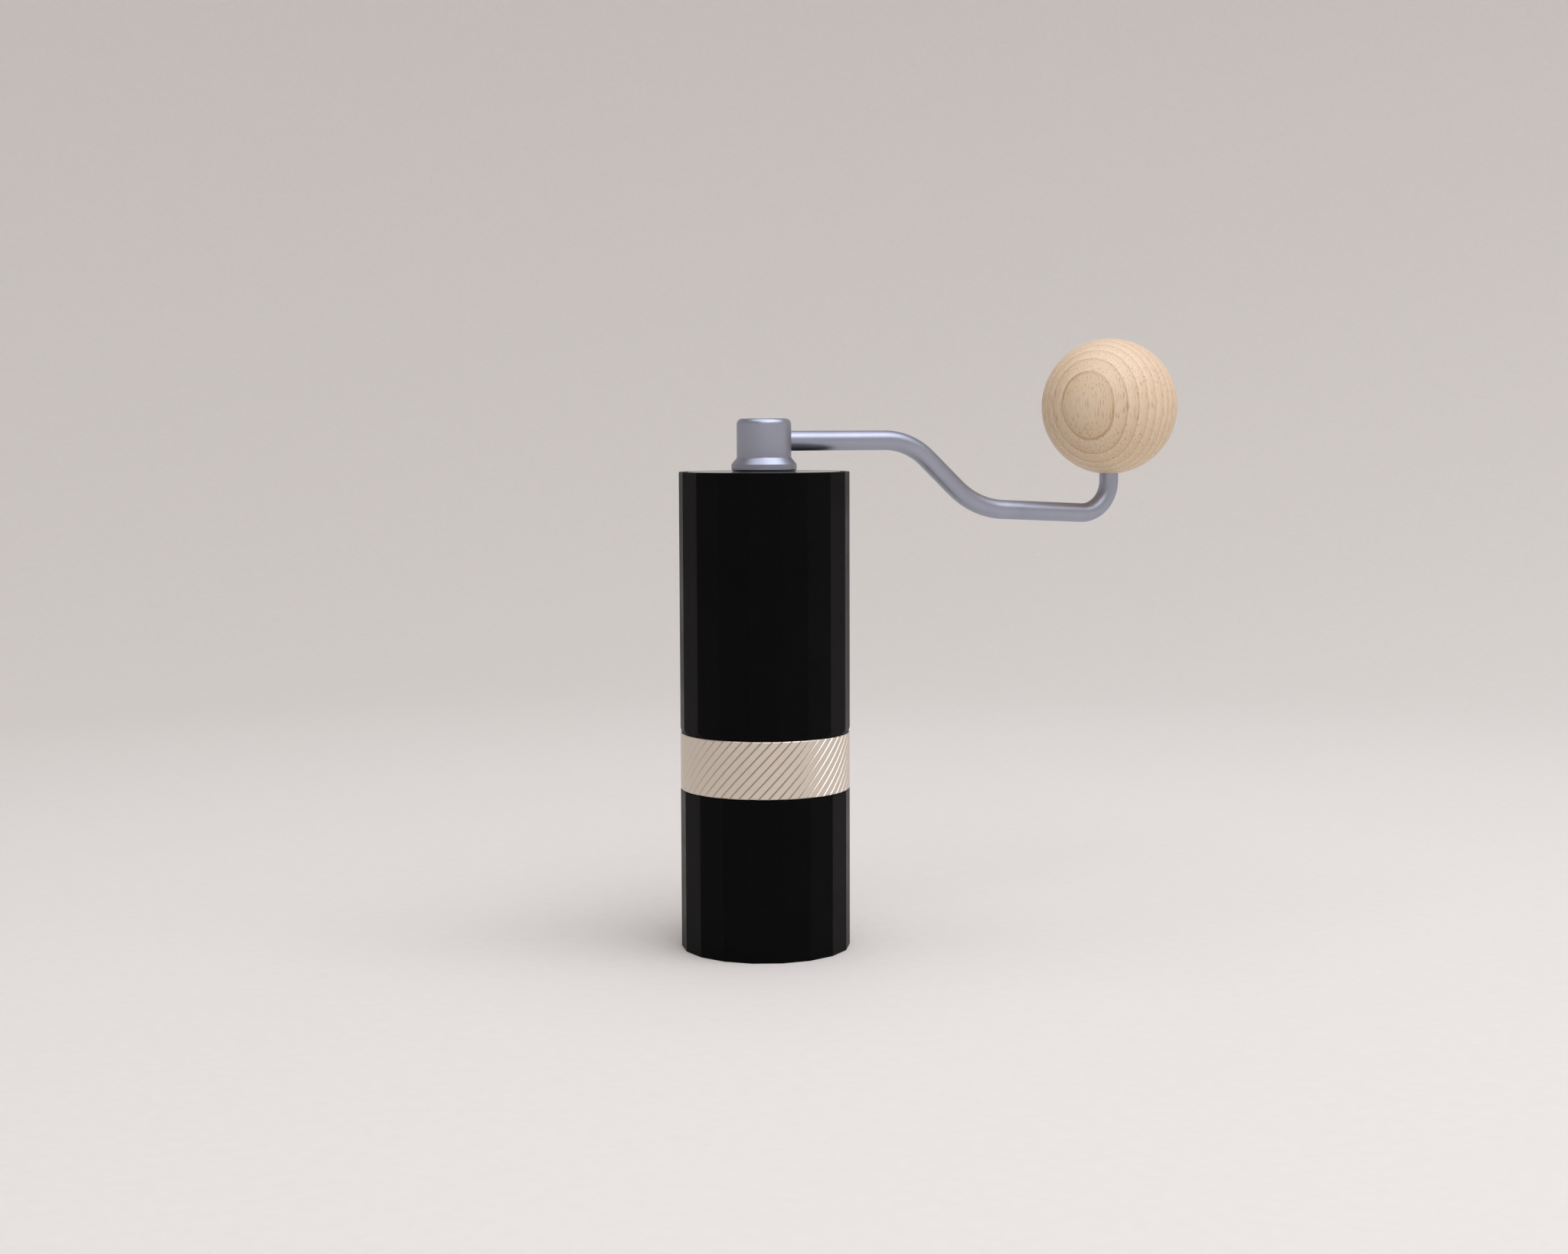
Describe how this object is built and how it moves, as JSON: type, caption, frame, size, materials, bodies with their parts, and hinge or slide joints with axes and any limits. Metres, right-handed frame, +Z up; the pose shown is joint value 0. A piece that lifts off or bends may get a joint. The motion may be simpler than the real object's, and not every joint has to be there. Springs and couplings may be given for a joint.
{
  "type": "hand crank coffee grinder",
  "caption": "Slim faceted black hand coffee grinder with a grooved metal adjusting ring, pull-off catch cup, lift-off lid and a bent rod crank ending in a wooden ball knob.",
  "frame": {"origin": "centre of the catch cup's flat foot, on the grinder's axis", "axes": "+Z up along the grinder's axis, +X from the axis towards the knob at rest, +Y to the left of the crank seen from above"},
  "size_m": [0.1688, 0.0506, 0.1836],
  "materials": {
    "black_anodised": "black anodised, satin",
    "ring_silver": "bead blasted, clear anodised, with cut grooves",
    "lid_black": "faced on the lathe, black anodised",
    "satin_steel": "bead blasted",
    "machined_alloy": "as machined",
    "burr_steel": "ground",
    "bright_steel": "turned",
    "bearing_steel": "polished",
    "magnet_nickel": "nickel plated",
    "black_steel": "black oxide",
    "bronze": "turned",
    "seal_rubber": "moulded",
    "washer_plastic": "smooth, black",
    "ball_wood": "oiled"
  },
  "bodies": {
    "grinder_body": {"upper_body": "black_anodised", "upper_bridge": "machined_alloy", "bridge_circlip": "black_steel", "upper_bearing_outer": "bearing_steel", "lower_bearing_outer": "bearing_steel", "lower_frame": "machined_alloy", "cup_spigot": "machined_alloy", "spigot_screws": "bright_steel", "spigot_magnets": "magnet_nickel", "ring_drag_o_ring": "seal_rubber"},
    "drive_shaft": {"drive_shaft": "bright_steel", "upper_bearing_inner": "bearing_steel", "lower_bearing_inner": "bearing_steel", "burr_spacer": "bright_steel", "inner_burr": "burr_steel", "burr_washer": "bright_steel", "burr_nut": "bright_steel"},
    "adjust_ring": {"adjust_ring": "ring_silver"},
    "burr_carrier": {"burr_carrier": "machined_alloy", "outer_burr": "burr_steel", "burr_grub_screws": "black_steel"},
    "lid": {"lid_plate": "lid_black", "lid_bush": "bronze", "lid_seal": "seal_rubber"},
    "crank": {"crank_hub": "satin_steel", "crank_arm": "satin_steel", "hub_grub_screw": "black_steel", "hub_thrust_washer": "washer_plastic", "hub_circlip": "black_steel", "knob_washer": "washer_plastic", "knob_circlip": "black_steel"},
    "knob": {"knob_ball": "ball_wood", "knob_insert": "bronze"},
    "catch_cup": {"catch_cup": "black_anodised", "cup_magnets": "magnet_nickel"}
  },
  "joints": [
    {"name": "lid_lift", "type": "slide", "parent": "grinder_body", "child": "lid", "axis": [0, 0, 1], "range_m": [0, 0.05]},
    {"name": "crank_turn", "type": "hinge", "parent": "lid", "child": "crank", "pos_m": [0, 0, 0.15], "axis": [0, 0, 1], "continuous": true},
    {"name": "knob_spin", "type": "hinge", "parent": "crank", "child": "knob", "pos_m": [0.122, 0, 0.1621], "axis": [0, 0, 1], "continuous": true},
    {"name": "shaft_turn", "type": "hinge", "parent": "grinder_body", "child": "drive_shaft", "pos_m": [0, 0, 0.1], "axis": [0, 0, 1], "continuous": true},
    {"name": "ring_turn", "type": "hinge", "parent": "grinder_body", "child": "adjust_ring", "pos_m": [0, 0, 0.0566], "axis": [0, 0, 1], "range_deg": [-242, 62]},
    {"name": "carrier_slide", "type": "slide", "parent": "grinder_body", "child": "burr_carrier", "axis": [0, 0, 1], "range_m": [-0.00025, 0.001]},
    {"name": "cup_pull", "type": "slide", "parent": "grinder_body", "child": "catch_cup", "axis": [0, 0, -1], "range_m": [0, 0.06]}
  ],
  "couplings": [
    {"joint": "shaft_turn", "follows": "crank_turn", "ratio": 1},
    {"joint": "ring_turn", "follows": "carrier_slide", "rad_per_m": -4188.8}
  ]
}
